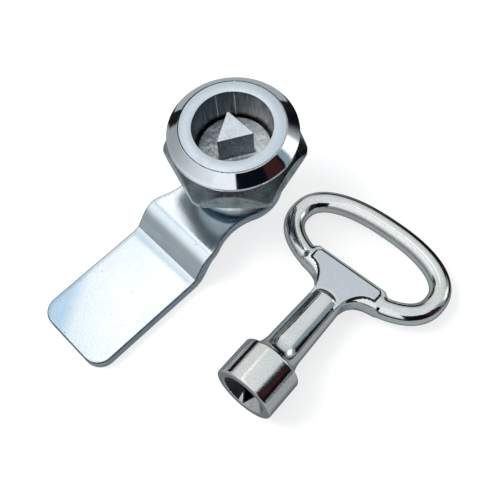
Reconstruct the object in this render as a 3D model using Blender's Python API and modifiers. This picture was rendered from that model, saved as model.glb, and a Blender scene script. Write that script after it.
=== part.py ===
"""Quarter-turn cam lock with a triangular drive, and the cast key that turns it.

The lock's axis is +Z. z = 0 is the outer face of the cam bolt's head: the lock stands on that head
and on the cam's blade, with its front face up. The cam points to -Y when it is locked.
Sizes are in millimetres and become metres where a mesh is made.
"""

import math

import bmesh
import bpy
from mathutils import Matrix, Vector

MM = 0.001

# Head and barrel
FACE_HEIGHT = 30.0
HEAD_RADIUS = 14.2
FACE_RING_RADIUS = 11.5
HEAD_CHAMFER_DROP = 2.3
HEAD_THICKNESS = 3.1
RECESS_RADIUS = 8.65
BARREL_RADIUS = 11.0
BARREL_FLAT_HALF = 10.0
BARREL_FLOOR_HEIGHT = 10.4
BARREL_LOWEST = 8.9
STOP_RING_INNER = 7.6
SHAFT_BORE_RADIUS = 5.5
ROTOR_SEAT_HEIGHT = 17.2

# Rotor
ROTOR_FACE_DEPTH = 8.5
ROTOR_DISC_RADIUS = 8.1
ROTOR_DISC_THICKNESS = 4.0
SHAFT_RADIUS = 5.4
SHAFT_END_HEIGHT = 5.9
SQUARE_HALF = 4.0
SQUARE_TOP_HEIGHT = 10.25
SEAL_GROOVE_RADIUS = 4.2
SEAL_GROOVE_HEIGHT = 13.7
SEAL_GROOVE_WIDTH = 1.6
SEAL_CORD_RADIUS = 0.6
STUD_SIDE = 8.3
STUD_CORNER = 0.3
STUD_DEPTH = 1.2
THREAD_HOLE_RADIUS = 3.0
THREAD_HOLE_TOP = 14.6

# Quarter-turn stop
TURN = -90.0
TAB_DIRECTION = 90.0
TAB_HALF_ANGLE = 14.0
STOP_CLEARANCE_ANGLE = 1.0
STOP_DISC_RADIUS = 7.2
STOP_TAB_RADIUS = 9.9
STOP_WASHER_TOP = 10.1

# Cam
CAM_THICKNESS = 3.0
CAM_CRANK = 5.6
CAM_ROUND_RADIUS = 10.3
CAM_WAIST_HALF = 8.2
CAM_WAIST_Y = -9.8
CAM_WAIST_FILLET = 13.6
CAM_SHOULDER_RADIUS = 8.0
CAM_HALF_WIDTH = 10.0
CAM_LENGTH = 53.0
CAM_END_CORNER = 4.0
CAM_BEND_Y = -17.2
CAM_BEND_ANGLE = 54.0
CAM_BEND_RADIUS = 5.0
CAM_CREASE_RADIUS = 0.8
SQUARE_HOLE_HALF = 4.15

# Nut, gasket, spring washer and bolt
NUT_ACROSS_FLATS = 28.0
NUT_TOP_HEIGHT = 26.1
NUT_THICKNESS = 6.4
NUT_CORNER_DIRECTION = 43.5
NUT_FACE_RADIUS = 12.8
NUT_CORNER_RADIUS = 15.8
NUT_CONE_LOWEST = 21.2
NUT_LOWER_CHAMFER = 0.4
RING_BORE_RADIUS = 11.15
GASKET_RADIUS = 13.9
GASKET_TOP = 26.8
GASKET_BOTTOM = 26.2
BOLT_ACROSS_FLATS = 10.0
BOLT_HEAD_HEIGHT = 4.0
BOLT_FACE_RADIUS = 4.75
BOLT_SHANK_RADIUS = 2.9
BOLT_END_HEIGHT = 14.2
SPRING_WASHER_INNER = 3.1
SPRING_WASHER_OUTER = 5.9
SPRING_WASHER_BOTTOM = 4.1
SPRING_WASHER_TOP = 5.5
SPRING_WASHER_SLOT = 0.6

# Key: x across the handle, y out of its flat face, z from the socket's mouth to the handle
KEY_MOUTH_X = 37.55
KEY_MOUTH_Y = -35.1
KEY_DIRECTION = 95.8
SOCKET_RADIUS = 7.1
SOCKET_LENGTH = 9.6
SOCKET_EDGE = 0.4
SOCKET_HOLE_SIDE = 9.2
SOCKET_HOLE_DEPTH = 8.0
LEAD_IN_RADIUS = 5.2
SHANK_START = 14.0
SHANK_RADIUS = 4.35
SHANK_END_RADIUS = 3.95
SHANK_END = 27.6
SHANK_DOME = 2.2
LOOP_CENTRE = 43.3
LOOP_HALF_WIDTH = 18.6
LOOP_HALF_HEIGHT = 9.45
LOOP_SQUARENESS = 2.35
LOOP_CORD_RADIUS = 2.45
WEB_HALF_THICKNESS = 2.2
PANEL_HALF_THICKNESS = 2.9
PANEL_HALF_WIDTH = 8.5
PANEL_TOP = 37.5
PANEL_LOW = 34.0

TAN30 = math.tan(math.radians(30.0))


def clear_scene():
    for thing in list(bpy.data.objects):
        bpy.data.objects.remove(thing, do_unlink=True)


def make_collection(name):
    group = bpy.data.collections.new(name)
    bpy.context.scene.collection.children.link(group)
    return group


def make_material(name, colour, roughness, metallic):
    finish = bpy.data.materials.new(name)
    finish.use_nodes = True
    shader = finish.node_tree.nodes["Principled BSDF"]
    shader.inputs["Base Color"].default_value = (*colour, 1.0)
    shader.inputs["Roughness"].default_value = roughness
    shader.inputs["Metallic"].default_value = metallic
    return finish


def add_object(name, data, group, height=0.0):
    thing = bpy.data.objects.new(name, data)
    thing.location.z = height * MM
    group.objects.link(thing)
    return thing


def as_cutter(thing):
    thing.hide_render = True
    thing.display_type = "WIRE"
    return thing


def combine(target, other, operation):
    step = target.modifiers.new(operation.lower() + "_" + other.name, "BOOLEAN")
    step.operation = operation
    step.object = other
    return step


def turned(name, profile, group, height=0.0, closed=False, sides=64):
    """A solid turned about local Z. The profile (radius, z) runs down its outer side."""
    mesh = bpy.data.meshes.new(name)
    points = [(radius * MM, 0.0, (z - height) * MM) for radius, z in profile]
    edges = [(i, i + 1) for i in range(len(points) - 1)]
    if closed:
        edges.append((len(points) - 1, 0))
    mesh.from_pydata(points, edges, [])
    thing = add_object(name, mesh, group, height)
    screw = thing.modifiers.new("turn", "SCREW")
    screw.steps = sides
    screw.render_steps = sides
    screw.use_merge_vertices = True
    screw.merge_threshold = 0.00001
    screw.use_smooth_shade = True
    return thing


def extruded(name, outline, low, high, group):
    """A flat outline (x, y) made solid from low to high, with its origin on the axis."""
    curve = bpy.data.curves.new(name + "_outline", "CURVE")
    curve.dimensions = "2D"
    curve.fill_mode = "BOTH"
    curve.extrude = (high - low) / 2.0 * MM
    spline = curve.splines.new("POLY")
    spline.points.add(len(outline) - 1)
    for point, (x, y) in zip(spline.points, outline):
        point.co = (x * MM, y * MM, 0.0, 1.0)
    spline.use_cyclic_u = True
    return curve_to_mesh(name, curve, group, (low + high) / 2.0)


def curve_to_mesh(name, curve, group, height=0.0):
    """Turns a curve into a welded mesh object whose origin stays on the axis."""
    guide = add_object(name + "_curve", curve, group)
    bpy.context.view_layer.update()
    evaluated = guide.evaluated_get(bpy.context.evaluated_depsgraph_get())
    mesh = bpy.data.meshes.new_from_object(evaluated)
    bpy.data.objects.remove(guide, do_unlink=True)
    shape = bmesh.new()
    shape.from_mesh(mesh)
    bmesh.ops.remove_doubles(shape, verts=shape.verts, dist=0.000005)
    shape.to_mesh(mesh)
    shape.free()
    mesh.transform(Matrix.Translation((0.0, 0.0, height * MM)))
    return add_object(name, mesh, group)


def box(name, size, centre, group):
    shape = bmesh.new()
    bmesh.ops.create_cube(shape, size=1.0)
    bmesh.ops.scale(shape, vec=Vector(size) * MM, verts=shape.verts)
    mesh = bpy.data.meshes.new(name)
    shape.to_mesh(mesh)
    shape.free()
    thing = add_object(name, mesh, group)
    thing.location = Vector(centre) * MM
    return thing


def arc(centre, radius, start, end, steps):
    """Points (x, y) along an arc, angles in degrees."""
    points = []
    for i in range(steps + 1):
        angle = math.radians(start + (end - start) * i / steps)
        points.append((centre[0] + radius * math.cos(angle), centre[1] + radius * math.sin(angle)))
    return points


def rounded_triangle(side, corner):
    """An equilateral triangle with one vertex towards -Y."""
    inset = side / math.sqrt(3.0) - 2.0 * corner
    points = []
    for direction in (-90.0, 30.0, 150.0):
        turn = math.radians(direction)
        centre = (inset * math.cos(turn), inset * math.sin(turn))
        points += arc(centre, corner, direction - 60.0, direction + 60.0, 4)
    return points


def hexagon(name, across_flats, low, high, direction, group):
    shape = bmesh.new()
    radius = across_flats / math.sqrt(3.0) * MM
    bmesh.ops.create_cone(shape, cap_ends=True, segments=6, radius1=radius, radius2=radius,
                          depth=(high - low) * MM)
    bmesh.ops.rotate(shape, cent=(0.0, 0.0, 0.0), verts=shape.verts,
                     matrix=Matrix.Rotation(math.radians(direction), 3, "Z"))
    mesh = bpy.data.meshes.new(name)
    shape.to_mesh(mesh)
    shape.free()
    return add_object(name, mesh, group, (low + high) / 2.0)


def make_housing(parts, cutters):
    head_base = FACE_HEIGHT - HEAD_THICKNESS
    profile = [(RECESS_RADIUS, FACE_HEIGHT), (FACE_RING_RADIUS, FACE_HEIGHT),
               (HEAD_RADIUS, FACE_HEIGHT - HEAD_CHAMFER_DROP), (HEAD_RADIUS, head_base),
               (BARREL_RADIUS, head_base), (BARREL_RADIUS, BARREL_LOWEST),
               (STOP_RING_INNER, BARREL_LOWEST), (STOP_RING_INNER, BARREL_FLOOR_HEIGHT),
               (SHAFT_BORE_RADIUS, BARREL_FLOOR_HEIGHT), (SHAFT_BORE_RADIUS, ROTOR_SEAT_HEIGHT),
               (RECESS_RADIUS, ROTOR_SEAT_HEIGHT)]
    housing = turned("housing", profile, parts, closed=True)
    flat_height = head_base - BARREL_LOWEST + 2.0
    for side, label in ((1, "right"), (-1, "left")):
        centre = (side * (BARREL_FLAT_HALF + 2.0), 0.0, head_base - flat_height / 2.0)
        flat = box("barrel_flat_" + label, (4.0, 24.0, flat_height), centre, cutters)
        combine(housing, as_cutter(flat), "DIFFERENCE")
    reach = TAB_HALF_ANGLE + STOP_CLEARANCE_ANGLE
    window = [(0.0, 0.0)] + arc((0.0, 0.0), 14.0, TAB_DIRECTION + TURN - reach,
                                TAB_DIRECTION + reach, 12)
    gap = extruded("stop_window", window, BARREL_LOWEST - 1.0, BARREL_FLOOR_HEIGHT, cutters)
    combine(housing, as_cutter(gap), "DIFFERENCE")
    return housing


def make_rotor(parts, cutters):
    face = FACE_HEIGHT - ROTOR_FACE_DEPTH
    disc_base = face - ROTOR_DISC_THICKNESS
    groove_top = SEAL_GROOVE_HEIGHT + SEAL_GROOVE_WIDTH / 2.0
    groove_low = SEAL_GROOVE_HEIGHT - SEAL_GROOVE_WIDTH / 2.0
    profile = [(0.0, face), (ROTOR_DISC_RADIUS, face), (ROTOR_DISC_RADIUS, disc_base),
               (SHAFT_RADIUS, disc_base), (SHAFT_RADIUS, groove_top),
               (SEAL_GROOVE_RADIUS, groove_top), (SEAL_GROOVE_RADIUS, groove_low),
               (SHAFT_RADIUS, groove_low), (SHAFT_RADIUS, SHAFT_END_HEIGHT),
               (THREAD_HOLE_RADIUS, SHAFT_END_HEIGHT), (THREAD_HOLE_RADIUS, THREAD_HOLE_TOP),
               (0.0, THREAD_HOLE_TOP)]
    rotor = turned("rotor", profile, parts, sides=48)
    drop = SQUARE_TOP_HEIGHT - SHAFT_END_HEIGHT + 1.0
    for quarter in range(4):
        turn = math.radians(90.0 * quarter)
        reach = SQUARE_HALF + 2.0
        centre = (reach * math.cos(turn), reach * math.sin(turn), SQUARE_TOP_HEIGHT - drop / 2.0)
        side = box("square_side_%d" % quarter, (4.0, 14.0, drop), centre, cutters)
        side.rotation_euler.z = turn
        combine(rotor, as_cutter(side), "DIFFERENCE")
    stud = extruded("triangle_stud", rounded_triangle(STUD_SIDE, STUD_CORNER), face - 0.5,
                    FACE_HEIGHT - STUD_DEPTH, cutters)
    combine(rotor, as_cutter(stud), "UNION")
    return rotor


def make_rotor_seal(parts):
    bpy.ops.mesh.primitive_torus_add(
        location=(0.0, 0.0, SEAL_GROOVE_HEIGHT * MM), major_segments=40, minor_segments=8,
        major_radius=(SEAL_GROOVE_RADIUS + SEAL_CORD_RADIUS + 0.05) * MM,
        minor_radius=SEAL_CORD_RADIUS * MM)
    seal = bpy.context.object
    seal.name = "rotor_seal"
    seal.data.name = "rotor_seal"
    for group in list(seal.users_collection):
        group.objects.unlink(seal)
    parts.objects.link(seal)
    seal.data.shade_smooth()
    return seal


def make_stop_washer(parts, cutters):
    """A disc whose tab meets either end of the barrel's stop ring, a quarter turn apart."""
    first = TAB_DIRECTION - TAB_HALF_ANGLE
    last = TAB_DIRECTION + TAB_HALF_ANGLE
    outline = arc((0.0, 0.0), STOP_TAB_RADIUS, first, last, 6)
    outline += arc((0.0, 0.0), STOP_DISC_RADIUS, last, first + 360.0, 36)
    washer = extruded("stop_washer", outline, BARREL_LOWEST, STOP_WASHER_TOP, parts)
    combine(washer, square_hole(cutters, "stop_washer_hole"), "DIFFERENCE")
    return washer


def square_hole(cutters, name):
    size = 2.0 * SQUARE_HOLE_HALF
    return as_cutter(box(name, (size, size, 20.0), (0.0, 0.0, 8.0), cutters))


def cam_half_outline():
    """The right half of the cam from above, from the round end down to the blade's end."""
    fillet_x = CAM_WAIST_HALF + CAM_WAIST_FILLET
    meet = math.degrees(math.atan2(CAM_WAIST_Y, fillet_x))
    shoulder_x = CAM_HALF_WIDTH - CAM_SHOULDER_RADIUS
    between = CAM_WAIST_FILLET + CAM_SHOULDER_RADIUS
    fall = math.sqrt(between ** 2 - (fillet_x - shoulder_x) ** 2)
    lean = math.degrees(math.atan2(fall, fillet_x - shoulder_x))
    corner = CAM_END_CORNER
    points = arc((0.0, 0.0), CAM_ROUND_RADIUS, 90.0, meet, 14)
    points += arc((fillet_x, CAM_WAIST_Y), CAM_WAIST_FILLET, 180.0 + meet, 180.0 + lean, 7)[1:]
    points += arc((shoulder_x, CAM_WAIST_Y - fall), CAM_SHOULDER_RADIUS, lean, 0.0, 4)[1:]
    points += arc((CAM_HALF_WIDTH - corner, corner - CAM_LENGTH), corner, 0.0, -90.0, 6)
    return points


def cam_side_profile():
    """The cranked strip from the side, as (y, z): a flat root, a ramp and a flat blade."""
    bend = math.radians(CAM_BEND_ANGLE)
    root_top = CAM_CRANK + CAM_THICKNESS
    centre = (CAM_BEND_Y, root_top - CAM_BEND_RADIUS)
    crease_z = CAM_THICKNESS + CAM_CREASE_RADIUS
    ramp_start = (centre[0] - CAM_BEND_RADIUS * math.sin(bend),
                  centre[1] + CAM_BEND_RADIUS * math.cos(bend))
    ramp_end_z = crease_z - CAM_CREASE_RADIUS * math.cos(bend)
    ramp_end_y = ramp_start[0] - (ramp_start[1] - ramp_end_z) / math.tan(bend)
    crease = (ramp_end_y - CAM_CREASE_RADIUS * math.sin(bend), crease_z)
    lower = CAM_CREASE_RADIUS + CAM_THICKNESS
    upper = CAM_BEND_RADIUS - CAM_THICKNESS
    far = -CAM_LENGTH - 2.0
    near = CAM_ROUND_RADIUS + 2.0
    top = [(near, root_top)] + arc(centre, CAM_BEND_RADIUS, 90.0, 90.0 + CAM_BEND_ANGLE, 8)
    top += arc(crease, CAM_CREASE_RADIUS, CAM_BEND_ANGLE - 90.0, -90.0, 4) + [(far, CAM_THICKNESS)]
    base = [(far, 0.0)] + arc(crease, lower, -90.0, CAM_BEND_ANGLE - 90.0, 6)
    base += arc(centre, upper, 90.0 + CAM_BEND_ANGLE, 90.0, 6) + [(near, CAM_CRANK)]
    return top + base


def make_cam(parts, cutters):
    half = cam_half_outline()
    outline = half + [(-x, y) for x, y in reversed(half) if x > 0.001]
    cam = extruded("cam", outline, -1.0, CAM_CRANK + CAM_THICKNESS + 1.0, parts)
    strip = extruded("cam_strip", cam_side_profile(), -12.0, 12.0, cutters)
    strip.matrix_world = Matrix(((0, 0, 1, 0), (1, 0, 0, 0), (0, 1, 0, 0), (0, 0, 0, 1)))
    combine(cam, as_cutter(strip), "INTERSECT")
    combine(cam, square_hole(cutters, "cam_hole"), "DIFFERENCE")
    return cam


def make_spring_washer(parts, cutters):
    """A split washer, flattened by the bolt."""
    profile = [(SPRING_WASHER_INNER, SPRING_WASHER_TOP), (SPRING_WASHER_OUTER, SPRING_WASHER_TOP),
               (SPRING_WASHER_OUTER, SPRING_WASHER_BOTTOM),
               (SPRING_WASHER_INNER, SPRING_WASHER_BOTTOM)]
    washer = turned("spring_washer", profile, parts, closed=True, sides=40)
    centre = (-4.5, 0.0, (SPRING_WASHER_TOP + SPRING_WASHER_BOTTOM) / 2.0)
    slot = box("washer_slot", (5.0, SPRING_WASHER_SLOT, 4.0), centre, cutters)
    slot.rotation_euler.x = math.radians(25.0)
    combine(washer, as_cutter(slot), "DIFFERENCE")
    return washer


def make_cam_bolt(parts, cutters):
    widest = BOLT_ACROSS_FLATS / math.sqrt(3.0) + 0.1
    chamfer = (widest - BOLT_FACE_RADIUS) * TAN30
    profile = [(0.0, BOLT_END_HEIGHT), (BOLT_SHANK_RADIUS - 0.5, BOLT_END_HEIGHT),
               (BOLT_SHANK_RADIUS, BOLT_END_HEIGHT - 0.5), (BOLT_SHANK_RADIUS, BOLT_HEAD_HEIGHT),
               (widest, BOLT_HEAD_HEIGHT), (widest, chamfer), (BOLT_FACE_RADIUS, 0.0), (0.0, 0.0)]
    bolt = turned("cam_bolt", profile, parts, sides=48)
    prism = hexagon("bolt_hexagon", BOLT_ACROSS_FLATS, -1.0, 16.0, 12.0, cutters)
    combine(bolt, as_cutter(prism), "INTERSECT")
    return bolt


def make_nut(parts, cutters):
    low = NUT_TOP_HEIGHT - NUT_THICKNESS
    under_radius = NUT_CORNER_RADIUS - NUT_LOWER_CHAMFER / TAN30
    profile = [(RING_BORE_RADIUS, NUT_TOP_HEIGHT), (NUT_FACE_RADIUS, NUT_TOP_HEIGHT),
               (NUT_CORNER_RADIUS, NUT_CONE_LOWEST),
               (NUT_CORNER_RADIUS, low + NUT_LOWER_CHAMFER), (under_radius, low),
               (RING_BORE_RADIUS, low)]
    nut = turned("mounting_nut", profile, parts, closed=True)
    prism = hexagon("nut_hexagon", NUT_ACROSS_FLATS, low - 1.0, NUT_TOP_HEIGHT + 1.0,
                    NUT_CORNER_DIRECTION, cutters)
    combine(nut, as_cutter(prism), "INTERSECT")
    return nut


def make_gasket(parts):
    profile = [(RING_BORE_RADIUS, GASKET_TOP), (GASKET_RADIUS, GASKET_TOP),
               (GASKET_RADIUS, GASKET_BOTTOM), (RING_BORE_RADIUS, GASKET_BOTTOM)]
    return turned("panel_gasket", profile, parts, closed=True)


def key_body_profile():
    """Socket, concave flare, tapered shank and domed end, from the handle end to the mouth."""
    profile = [(0.0, SHANK_END + SHANK_DOME)]
    for i in range(5, -1, -1):
        turn = math.radians(15.0 * i)
        profile.append((SHANK_END_RADIUS * math.cos(turn), SHANK_END + SHANK_DOME * math.sin(turn)))
    profile.append((SHANK_RADIUS, SHANK_START + 6.0))
    flare_start = SOCKET_RADIUS - 0.6
    for i in range(7):
        turn = math.radians(15.0 * i)
        radius = flare_start - (flare_start - SHANK_RADIUS) * math.cos(turn)
        z = SOCKET_LENGTH + (SHANK_START - SOCKET_LENGTH) * (1.0 - math.sin(turn))
        profile.append((radius, z))
    profile += [(SOCKET_RADIUS, SOCKET_LENGTH - SOCKET_EDGE), (SOCKET_RADIUS, SOCKET_EDGE),
                (SOCKET_RADIUS - SOCKET_EDGE, 0.0), (0.0, 0.0)]
    return profile


def key_loop(cutters):
    """The finger loop: a rounded oval of round bar."""
    curve = bpy.data.curves.new("key_loop_line", "CURVE")
    curve.dimensions = "3D"
    curve.bevel_depth = LOOP_CORD_RADIUS * MM
    curve.bevel_resolution = 2
    count = 56
    spline = curve.splines.new("POLY")
    spline.points.add(count - 1)
    power = 2.0 / LOOP_SQUARENESS
    for i, point in enumerate(spline.points):
        turn = 2.0 * math.pi * (i + 0.5) / count
        across = math.copysign(abs(math.cos(turn)) ** power, math.cos(turn))
        along = math.copysign(abs(math.sin(turn)) ** power, math.sin(turn))
        point.co = (LOOP_HALF_WIDTH * across * MM, 0.0,
                    (LOOP_CENTRE + LOOP_HALF_HEIGHT * along) * MM, 1.0)
    spline.use_cyclic_u = True
    return curve_to_mesh("key_loop", curve, cutters)


def key_slab(name, half_width, top, low, half_thickness, cutters):
    """A flat web: straight across the handle's bar, then curving in to the shank."""
    foot = SHANK_END_RADIUS - 0.6
    flare = half_width - foot
    fall = low - SHANK_END + 1.0
    half = [(half_width - 0.8, top), (half_width, top - 0.8)]
    for i in range(7):
        turn = math.radians(15.0 * i)
        half.append((half_width - flare * math.sin(turn), low - fall * (1.0 - math.cos(turn))))
    outline = half + [(-x, z) for x, z in reversed(half)]
    slab = extruded(name, outline, -half_thickness, half_thickness, cutters)
    slab.data.transform(Matrix.Rotation(math.radians(90.0), 4, "X"))
    return slab


def key_rest():
    """The tilt and the height of the socket's mouth, as the key lies on its shoulder and loop."""
    shoulder = SOCKET_LENGTH - SOCKET_EDGE
    reach = LOOP_CENTRE + LOOP_HALF_HEIGHT - shoulder
    tilt = math.acos(LOOP_CORD_RADIUS / math.hypot(SOCKET_RADIUS, reach))
    tilt -= math.atan2(reach, SOCKET_RADIUS)
    return tilt, SOCKET_RADIUS * math.cos(tilt) + shoulder * math.sin(tilt)


def make_key(parts, cutters):
    tilt, mouth_height = key_rest()
    frame = add_object("key_frame", None, parts)
    heading = Matrix.Rotation(math.radians(KEY_DIRECTION - 90.0), 4, "Z")
    lay_down = Matrix.Rotation(-math.pi / 2.0 - tilt, 4, "X")
    flip = Matrix.Rotation(math.pi, 4, "Z")
    place = Matrix.Translation(Vector((KEY_MOUTH_X, KEY_MOUTH_Y, mouth_height)) * MM)
    frame.matrix_world = place @ heading @ lay_down @ flip
    key = turned("triangle_key", key_body_profile(), parts, sides=40)
    web = key_slab("key_web", PANEL_HALF_WIDTH + 1.2, PANEL_TOP - 1.0, PANEL_LOW - 0.8,
                   WEB_HALF_THICKNESS, cutters)
    panel = key_slab("key_panel", PANEL_HALF_WIDTH, PANEL_TOP, PANEL_LOW,
                     PANEL_HALF_THICKNESS, cutters)
    hole = extruded("key_hole", rounded_triangle(SOCKET_HOLE_SIDE, 0.3), -1.0,
                    SOCKET_HOLE_DEPTH, cutters)
    lead_in = turned("key_lead_in", [(0.0, LEAD_IN_RADIUS), (LEAD_IN_RADIUS + 1.0, -1.0),
                                     (0.0, -1.0)], cutters, sides=40)
    for piece in (web, panel, key_loop(cutters)):
        combine(key, as_cutter(piece), "UNION")
        piece.parent = frame
    for piece in (hole, lead_in):
        combine(key, as_cutter(piece), "DIFFERENCE")
        piece.parent = frame
    key.parent = frame
    return key


def main():
    clear_scene()
    parts = make_collection("cam_lock")
    cutters = make_collection("cutters")
    chrome = make_material("bright_chrome", (0.82, 0.84, 0.86), 0.12, 1.0)
    cast_zinc = make_material("cast_zinc", (0.58, 0.58, 0.55), 0.45, 1.0)
    nut_zinc = make_material("dull_zinc", (0.50, 0.53, 0.52), 0.38, 1.0)
    blue_zinc = make_material("blue_zinc", (0.74, 0.82, 0.86), 0.28, 1.0)
    rubber = make_material("black_rubber", (0.03, 0.03, 0.03), 0.7, 0.0)
    key_nickel = make_material("cast_nickel", (0.66, 0.67, 0.65), 0.2, 1.0)
    make_housing(parts, cutters).data.materials.append(chrome)
    make_rotor(parts, cutters).data.materials.append(cast_zinc)
    make_rotor_seal(parts).data.materials.append(rubber)
    make_stop_washer(parts, cutters).data.materials.append(nut_zinc)
    make_cam(parts, cutters).data.materials.append(blue_zinc)
    make_spring_washer(parts, cutters).data.materials.append(nut_zinc)
    make_cam_bolt(parts, cutters).data.materials.append(blue_zinc)
    make_nut(parts, cutters).data.materials.append(nut_zinc)
    make_gasket(parts).data.materials.append(rubber)
    make_key(parts, cutters).data.materials.append(key_nickel)


main()
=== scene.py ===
"""Looks of the quarter-turn cam lock and its triangle key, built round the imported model.

Shapes are worked out in millimetres and become metres where a mesh is made. The lock's axis is +Z and
z = 0 is the table it stands on.
"""

from math import acos, asin, atan2, cos, degrees, hypot, pi, radians, sin, sqrt, tan

import bpy
import numpy as np
from mathutils import Matrix, Vector


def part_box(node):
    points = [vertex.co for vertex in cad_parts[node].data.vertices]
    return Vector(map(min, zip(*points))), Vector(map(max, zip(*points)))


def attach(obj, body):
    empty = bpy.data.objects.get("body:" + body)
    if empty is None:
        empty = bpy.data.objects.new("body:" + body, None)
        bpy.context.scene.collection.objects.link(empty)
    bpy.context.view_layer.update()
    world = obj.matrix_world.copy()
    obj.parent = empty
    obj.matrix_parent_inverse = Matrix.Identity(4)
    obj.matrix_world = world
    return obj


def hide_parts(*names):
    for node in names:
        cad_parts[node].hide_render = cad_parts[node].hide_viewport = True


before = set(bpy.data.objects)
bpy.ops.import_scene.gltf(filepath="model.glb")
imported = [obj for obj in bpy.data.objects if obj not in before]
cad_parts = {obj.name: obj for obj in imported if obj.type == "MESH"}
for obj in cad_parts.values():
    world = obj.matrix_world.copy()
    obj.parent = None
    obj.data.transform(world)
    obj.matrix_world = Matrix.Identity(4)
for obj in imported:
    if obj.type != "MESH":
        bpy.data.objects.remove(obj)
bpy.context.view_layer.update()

MM = 0.001
TAN30 = tan(radians(30))
LATTICE = 32
BARREL_PITCH = 1.5


# -------- noise and small tools


def heights(node):
    """A node's lowest and highest z, in millimetres."""
    low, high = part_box(node)
    return low[2] / MM, high[2] / MM


def noise(points, scale, seed):
    """Smooth noise from -1 to 1 at points (n, 3), one lump about 1/scale wide."""
    table = np.random.default_rng(seed).random((LATTICE,) * 3) * 2 - 1
    place = np.asarray(points, float) * scale
    cell = np.floor(place).astype(int)
    part = place - cell
    part = part * part * (3 - 2 * part)
    total = np.zeros(len(place))
    for step in np.ndindex(2, 2, 2):
        x, y, z = ((cell + step) % LATTICE).T
        total += np.abs(1 - np.array(step) - part).prod(1) * table[x, y, z]
    return total


def smooth_min(a, b, width):
    """The smaller of two lengths, with the corner between them rounded over about width."""
    h = np.clip(0.5 + 0.5 * (b - a) / width, 0, 1)
    return b + (a - b) * h - width * h * (1 - h)


def smooth_max(a, b, width):
    return -smooth_min(-a, -b, width)


def new_mesh(name, verts, faces):
    """A mesh from points in millimetres."""
    mesh = bpy.data.meshes.new(name)
    mesh.from_pydata((np.asarray(verts) * MM).tolist(), [], faces)
    return mesh


def new_object(name, data):
    """An object in the scene that shows this data."""
    thing = bpy.data.objects.new(name, data)
    bpy.context.scene.collection.objects.link(thing)
    return thing


def make_piece(looks, sharp, verts, faces, marks):
    """The visual piece for a CAD node, from points in millimetres.

    looks is (piece, node, body, slot, materials), where slot is not used; marks gives each face's
    material, and edges sharper than sharp degrees stay sharp.
    """
    name, node, body, slot, materials = looks
    mesh = new_mesh(name, verts, faces)
    for material in materials:
        mesh.materials.append(material)
    mesh.polygons.foreach_set("material_index", np.asarray(marks, np.int32))
    mesh.validate()
    mesh.shade_smooth()
    mesh.set_sharp_from_angle(angle=radians(sharp))
    piece = new_object(name, mesh)
    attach(piece, body)
    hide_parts(node)
    return piece


def ring_solid(looks, sharp, angles, rings, closed=True):
    """A solid made of rings round the axis.

    angles is in radians. Each ring is (radius, z) or (radius, z, material), where radius and z are
    numbers or one number for each angle, and material is for the band to the next ring. Rings run so
    that the outer side goes down. A closed solid is a ring with a hole; an open one has a first and
    a last point on the axis.
    """
    count = len(angles)
    verts, starts, faces, marks = [], [0], [], []
    for radius, z, *_ in rings:
        points = np.empty((count, 3))
        points[:, 0] = radius * np.cos(angles)
        points[:, 1] = radius * np.sin(angles)
        points[:, 2] = z
        verts.append(points if closed or np.max(radius) > 1e-9 else points[:1])
        starts.append(starts[-1] + len(verts[-1]))
    for i in range(len(rings) if closed else len(rings) - 1):
        after = (i + 1) % len(rings)
        a, b = starts[i], starts[after]
        for j in range(count):
            k = (j + 1) % count
            if len(verts[i]) == 1:
                faces.append((a, b + j, b + k))
            elif len(verts[after]) == 1:
                faces.append((a + j, b, a + k))
            else:
                faces.append((a + j, b + j, b + k, a + k))
        marks += [rings[i][2] if len(rings[i]) > 2 else 0] * count
    return make_piece(looks, sharp, np.concatenate(verts), faces, marks)


def corner_rings(x, z, wide, high, turns, *mark):
    """Rings that round a corner: an ellipse about (x, z), at turns in degrees from outwards to up."""
    return [(x + wide * cos(t), z + high * sin(t), *mark) for t in np.radians(turns)]


def turn_steps(count, offset=0):
    return radians(offset) + np.arange(count) * 2 * pi / count


def polygon_radius(angles, apothem, sides, first_corner):
    """Distance from the axis to a regular polygon's side, for each angle."""
    normals = np.radians(first_corner + 360 / sides * (0.5 + np.arange(sides)))
    return apothem / np.cos(angles - normals[:, None]).max(0)


def triangle_radius(angles, side, corner, first_corner):
    """Distance from the centre to the side of a triangle with rounded corners."""
    apothem = side / (2 * sqrt(3))
    reach = 2 * (apothem - corner)
    radius = polygon_radius(angles, apothem, 3, first_corner)
    limit = atan2(corner * sin(radians(60)),
                       reach + corner * cos(radians(60)))
    for k in range(3):
        turn = angles - radians(first_corner + 120 * k)
        turn = (turn + pi) % (2 * pi) - pi
        inside = np.maximum(corner ** 2 - (reach * np.sin(turn)) ** 2, 0)
        rounded = reach * np.cos(turn) + np.sqrt(inside)
        radius = np.where(np.abs(turn) < limit, rounded, radius)
    return radius


def thread_depth(angles, z, pitch, depth):
    """How far a thread's flank lies below its crest: flat crests and roots, straight flanks."""
    phase = (z / pitch - angles / (2 * pi)) % 1
    wave = np.abs(phase * 2 - 1)
    return depth * np.clip((wave - 0.125) / 0.75, 0, 1)


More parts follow.
